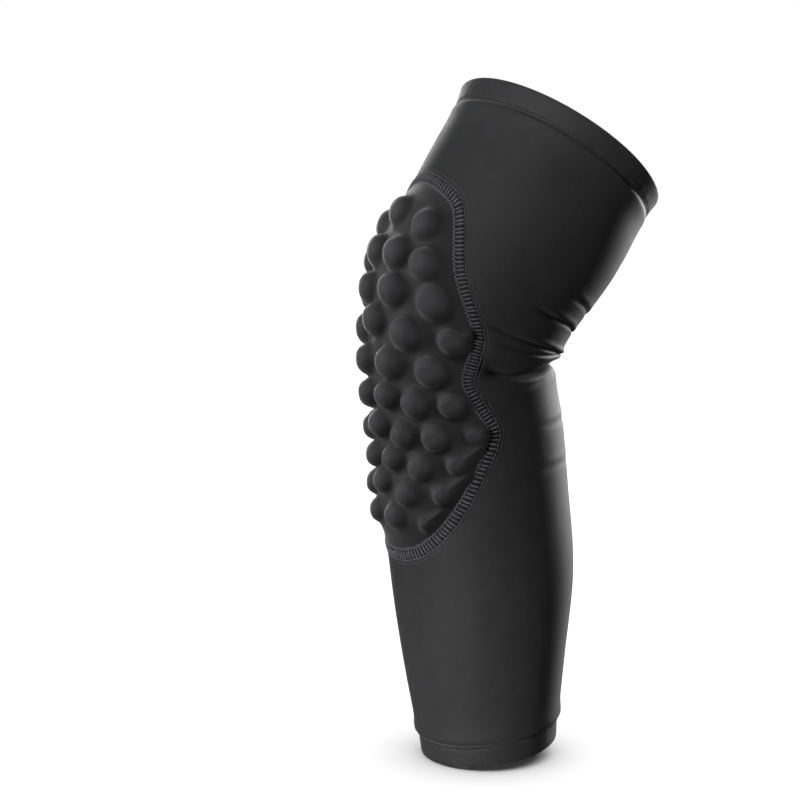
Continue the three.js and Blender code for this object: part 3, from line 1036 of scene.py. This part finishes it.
def hem_mesh(leg, sizes, start, way, rim):
    """A doubled band that runs from the sleeve's end to the rim, up or down, and opens out."""
    slack, tight = (np.array(hem_section(sizes, pinch)) for pinch in (0.0, 1.0))
    bm, x, y = flat_grid(HEM_COLUMNS, len(slack))
    angle = (2 * x - 1) * math.pi
    corner = np.round(y * len(slack)).astype(int) % len(slack)
    offset = slack[corner, 0]
    out = slack[corner, 1] + (tight - slack)[corner, 1] * hem_pinch(rim, angle)
    gathered = np.exp(-(((offset - HEM_CHANNEL) / HEM_PUCKER_REACH) ** 2))
    out += HEM_PUCKER * gathered * np.sin(HEM_PUCKERS * angle) * np.cos(HEM_PUCKER_GROUPS * angle)
    out += rim_flare(rim, sizes.hem_height - offset)
    along = start + way * offset
    lay_cloth(bm, np.stack((angle * leg.radius(0.0), along), axis=-1))
    move_to(bm.verts, leg.points(leg.settled(along, angle), angle, out))
    close_up(bm)
    return bm


def hem_stitch_mesh(leg, sizes, start, way, rim):
    """The row of straight stitches that closes a hem."""
    along = start + way * HEM_CHANNEL
    girth = leg.radius(along)
    count = round(2 * math.pi * girth / HEM_STITCH_PITCH)
    middles = np.arange(count) * 2 * math.pi * girth / count
    reach = HEM_STITCH_REACH * HEM_STITCH_PITCH
    starts = np.stack((middles - reach, 0 * middles + along), axis=-1)
    ends = np.stack((middles + reach, 0 * middles + along), axis=-1)

    def lay(distance, place, out):
        angle = distance / girth
        sunk = (sizes.hem_inset + HEM_CHANNEL_DEPTH) * hem_pinch(rim, angle)
        return leg.points(leg.settled(place, angle), angle, out - sunk)

    base = rim_flare(rim, sizes.hem_height - HEM_CHANNEL) - HEM_STEP
    return stitch_mesh(starts, ends, base, HEM_STITCH_ARCH, HEM_STITCH_THICK, lay)


SLEEVE_PIECE = "sleeve_knit"
PAD_PIECE = "pad_cover"


class KNEEPAD_OT_sleeve(bpy.types.Operator):
    """Make the stretch-knit leg tube with its pad-shaped hole and the folds behind the knee"""

    bl_idname = "kneepad.sleeve"
    bl_label = "Sleeve"

    def execute(self, context):
        settings = context.scene.knee_pad
        sizes = settings.sleeve
        leg = Leg(sizes)
        knit = knit_finish("stretch_knit", settings.colours.knit, SLEEVE_KNIT)
        bm = sleeve_mesh(leg, SeamLoop(leg), sizes)
        sleeve = finish_piece(bm, SLEEVE_PIECE, knit, "sleeve")
        wall = sleeve.modifiers.new("wall", "SOLIDIFY")
        wall.thickness = sizes.fabric
        wall.offset = -1
        return {"FINISHED"}


class KNEEPAD_OT_hems(bpy.types.Operator):
    """Make the doubled hems with their stitches, and work out the area of cloth that they and the sleeve
    are cut from
    """

    bl_idname = "kneepad.hems"
    bl_label = "Hems"

    def execute(self, context):
        settings = context.scene.knee_pad
        sizes = settings.sleeve
        leg = Leg(sizes)
        sleeve = bpy.data.objects[SLEEVE_PIECE]
        knit = sleeve.data.materials[0]
        ends = {"top": (sizes.top_rim, 1, TOP_RIM), "bottom": (sizes.bottom_rim, -1, BOTTOM_RIM)}
        for name, (place, way, rim) in ends.items():
            start = place - way * sizes.hem_height
            band = hem_mesh(leg, sizes, start, way, rim)
            finish_piece(band, f"{name}_hem_band", knit, f"{name}_hem")
            thread = thread_finish(f"{name}_hem_thread", settings.colours.knit, HEM_THREAD)
            row = hem_stitch_mesh(leg, sizes, start, way, rim)
            finish_piece(row, f"{name}_hem_stitches", thread)
        cut = (sizes.cut_width, sizes.cut_length)
        girth_stretch = 2 * math.pi * leg.radius(0.0) / sizes.cut_width
        area = cut[0] * cut[1] - SeamLoop(leg).area() / girth_stretch
        return {"FINISHED"}


class KNEEPAD_OT_pad(bpy.types.Operator):
    """Make the foam pad with its rows of bumps under a taut cover, with painted shade in its hollows"""

    bl_idname = "kneepad.pad"
    bl_label = "Pad"

    def execute(self, context):
        settings = context.scene.knee_pad
        leg = Leg(settings.sleeve)
        loop = SeamLoop(leg)
        knit = knit_finish("pad_knit", settings.colours.pad, PAD_KNIT)
        bm = pad_mesh(leg, loop, settings.pad, settings.sleeve.fabric)
        pad = finish_piece(bm, PAD_PIECE, knit, "knee_pad")
        return {"FINISHED"}


class KNEEPAD_OT_seam(bpy.types.Operator):
    """Make the flat seam round the pad, with its tapes and threads"""

    bl_idname = "kneepad.seam"
    bl_label = "Seam"

    def execute(self, context):
        settings = context.scene.knee_pad
        loop = SeamLoop(Leg(settings.sleeve))
        under = thread_finish("seam_tape", settings.colours.thread, SEAM_TAPE)
        tape = tape_mesh(loop, settings.pad, settings.sleeve.fabric)
        finish_piece(tape, "seam_tape", under, "pad_seam")
        thread = thread_finish("seam_thread", settings.colours.thread, SEAM_THREAD)
        finish_piece(seam_stitch_mesh(loop, settings.pad), "seam_stitches", thread)
        return {"FINISHED"}


# The camera: where it stands round the object, and where the origin falls in the picture
CAMERA_AZIMUTH = math.radians(64)
CAMERA_ELEVATION = math.radians(4.6)
CAMERA_DISTANCE = 0.95
PICTURE = 800
PIXEL_SIZE = 0.00058
ORIGIN_PIXEL = Vector((459.3, 359.3))
SENSOR = 36.0
CLIP_START = 0.05

# Lights: place round the object and above what they are aimed at, the height of that above its middle,
# distance, width, height, power, spread of the beam, and what they light
Lamp = namedtuple("Lamp", "name azimuth elevation aim distance width height power spread lit")
LAMPS = (
    Lamp("thigh_key", 24, 6, 0.235, 1.5, 0.60, 0.30, 0.73, 15, "sleeve"),
    Lamp("calf_key", 23, 8, -0.18, 1.5, 0.60, 0.30, 0.77, 15.5, "sleeve"),
    Lamp("pad_key", 28, 32, 0.0, 2.4, 0.7, 0.7, 23, 180, "pad"),
    Lamp("pad_fill", 98, 0, 0.0, 2.4, 1.2, 1.2, 19, 180, "pad"),
    Lamp("pad_left", -30, 12, 0.0, 2.4, 0.9, 1.2, 34, 180, "pad"),
    Lamp("right_rim", 203, 26, 0.0, 1.4, 0.40, 1.4, 58, 180, "whole"),
    Lamp("left_rim", -98, 4, 0.0, 1.4, 0.30, 1.4, 18, 180, "sleeve"),
    Lamp("pad_rim", -88, 10, 0.0, 1.4, 0.30, 1.4, 20, 180, "pad"),
)

# The floor and the light on it alone, and what the white background gives
FLOOR_SIZE = 12.0
FLOOR_ROUGHNESS = 0.9
FLOOR_LIGHT = 4.6
FLOOR_LIGHT_SPREAD = math.radians(100)
SKY_LIGHT = 0.09


def direction(azimuth, elevation):
    """Unit vector from the object towards a place round it."""
    flat = math.cos(elevation)
    return Vector((math.sin(azimuth) * flat, -math.cos(azimuth) * flat, math.sin(elevation)))


def make_camera(scene):
    """A camera at the picture's view, turned so that the origin falls on its pixel."""
    focal = CAMERA_DISTANCE / PIXEL_SIZE
    place = CAMERA_DISTANCE * direction(CAMERA_AZIMUTH, CAMERA_ELEVATION)
    towards = -place.normalized()
    right = Vector((math.cos(CAMERA_AZIMUTH), math.sin(CAMERA_AZIMUTH), 0))
    above = right.cross(towards)
    offset = (ORIGIN_PIXEL - Vector((PICTURE / 2, PICTURE / 2))) / focal
    forward = (towards - offset.x * right + offset.y * above).normalized()
    right = forward.cross(Vector((0, 0, 1))).normalized()
    above = right.cross(forward)
    data = bpy.data.cameras.new("camera")
    data.sensor_width = SENSOR
    data.lens = SENSOR * focal / PICTURE
    data.clip_start = CLIP_START
    camera = bpy.data.objects.new("camera", data)
    turn = Matrix((right, above, -forward)).transposed()
    camera.matrix_world = Matrix.Translation(place) @ turn.to_4x4()
    scene.collection.objects.link(camera)
    scene.camera = camera


def make_lamp(scene, lamp, centre, lit):
    """A soft box that is turned to its aim and lights one group of pieces."""
    data = bpy.data.lights.new(lamp.name, "AREA")
    data.shape = "RECTANGLE"
    data.size = lamp.width
    data.size_y = lamp.height
    data.energy = lamp.power
    data.spread = math.radians(lamp.spread)
    light = bpy.data.objects.new(lamp.name, data)
    towards = direction(math.radians(lamp.azimuth), math.radians(lamp.elevation))
    light.location = centre + Vector((0, 0, lamp.aim)) + lamp.distance * towards
    light.rotation_euler = towards.to_track_quat("Z", "Y").to_euler()
    light.light_linking.receiver_collection = lit
    scene.collection.objects.link(light)


def lit_group(name, members):
    """The objects that one set of lights falls on."""
    group = bpy.data.collections.new(name)
    for member in members:
        group.objects.link(member)
    return group


def make_floor(scene, height):
    """A plain pale floor that throws no light back, and its own light."""
    bm = bmesh.new()
    bmesh.ops.create_grid(bm, x_segments=1, y_segments=1, size=FLOOR_SIZE)
    bmesh.ops.translate(bm, verts=bm.verts, vec=(0, 0, height))
    mesh = bpy.data.meshes.new("floor")
    bm.to_mesh(mesh)
    bm.free()
    paint = Finish("floor_paint")
    colour = shade(scene.knee_pad.colours.floor, 1.0)
    paint.surface(Base_Color=colour, Roughness=FLOOR_ROUGHNESS, Specular_IOR_Level=0.0)
    mesh.materials.append(paint.material)
    floor = bpy.data.objects.new("floor", mesh)
    floor.visible_diffuse = False
    floor.visible_glossy = False
    scene.collection.objects.link(floor)
    floor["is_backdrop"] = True
    data = bpy.data.lights.new("floor_light", "SUN")
    data.energy = FLOOR_LIGHT
    data.angle = FLOOR_LIGHT_SPREAD
    light = bpy.data.objects.new("floor_light", data)
    light.light_linking.receiver_collection = lit_group("floor_lit", [floor])
    scene.collection.objects.link(light)


def make_sky(scene):
    """A white background that gives only a little light of its own."""
    world = bpy.data.worlds.new("studio")
    world.use_nodes = True
    nodes = Nodes(world.node_tree)
    seen = nodes.node("ShaderNodeLightPath", output="Is Camera Ray")
    background = world.node_tree.nodes["Background"]
    nodes.feed(background.inputs["Color"], (1, 1, 1, 1))
    nodes.feed(background.inputs["Strength"], SKY_LIGHT + (1 - SKY_LIGHT) * seen)
    scene.world = world


class KNEEPAD_OT_stage(bpy.types.Operator):
    """Make the floor, the lights and the camera"""

    bl_idname = "kneepad.stage"
    bl_label = "Stage"

    def execute(self, context):
        scene = context.scene
        scene.view_settings.view_transform = "Standard"
        low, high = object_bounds()
        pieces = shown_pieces()
        pad = [piece for piece in pieces if piece.name == PAD_PIECE]
        sleeve = [piece for piece in pieces if piece not in pad]
        groups = {"whole": pieces, "pad": pad, "sleeve": sleeve}
        lit = {name: lit_group(f"{name}_lit", members) for name, members in groups.items()}
        make_floor(scene, low.z)
        for lamp in LAMPS:
            make_lamp(scene, lamp, (low + high) / 2, lit[lamp.lit])
        make_sky(scene)
        make_camera(scene)
        return {"FINISHED"}


class KNEEPAD_PT_panel(bpy.types.Panel):
    """Sizes, colours and the steps that make the knee pad"""

    bl_label = "Knee Pad"
    bl_idname = "KNEEPAD_PT_panel"
    bl_space_type = "VIEW_3D"
    bl_region_type = "UI"
    bl_category = "Knee Pad"

    def draw(self, context):
        settings = context.scene.knee_pad
        for group in (settings.sleeve, settings.pad, settings.colours):
            box = self.layout.box()
            for name in group.__annotations__:
                box.prop(group, name)
        for step in STEPS:
            self.layout.operator(step.bl_idname)


STEPS = (KNEEPAD_OT_sleeve, KNEEPAD_OT_hems, KNEEPAD_OT_pad, KNEEPAD_OT_seam, KNEEPAD_OT_stage)
CLASSES = (SleeveSizes, PadSizes, Colours, KneePad, *STEPS, KNEEPAD_PT_panel)


def register():
    for cls in CLASSES:
        bpy.utils.register_class(cls)
    bpy.types.Scene.knee_pad = bpy.props.PointerProperty(type=KneePad)


def unregister():
    del bpy.types.Scene.knee_pad
    for cls in reversed(CLASSES):
        bpy.utils.unregister_class(cls)


def main():
    register()
    bpy.ops.kneepad.sleeve()
    bpy.ops.kneepad.hems()
    bpy.ops.kneepad.pad()
    bpy.ops.kneepad.seam()
    bpy.ops.kneepad.stage()
    boxes = {"cad": CAD_BOX, "visual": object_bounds()}
    {name: [list(corner) for corner in box] for name, box in boxes.items()}


if __name__ == "__main__":
    main()
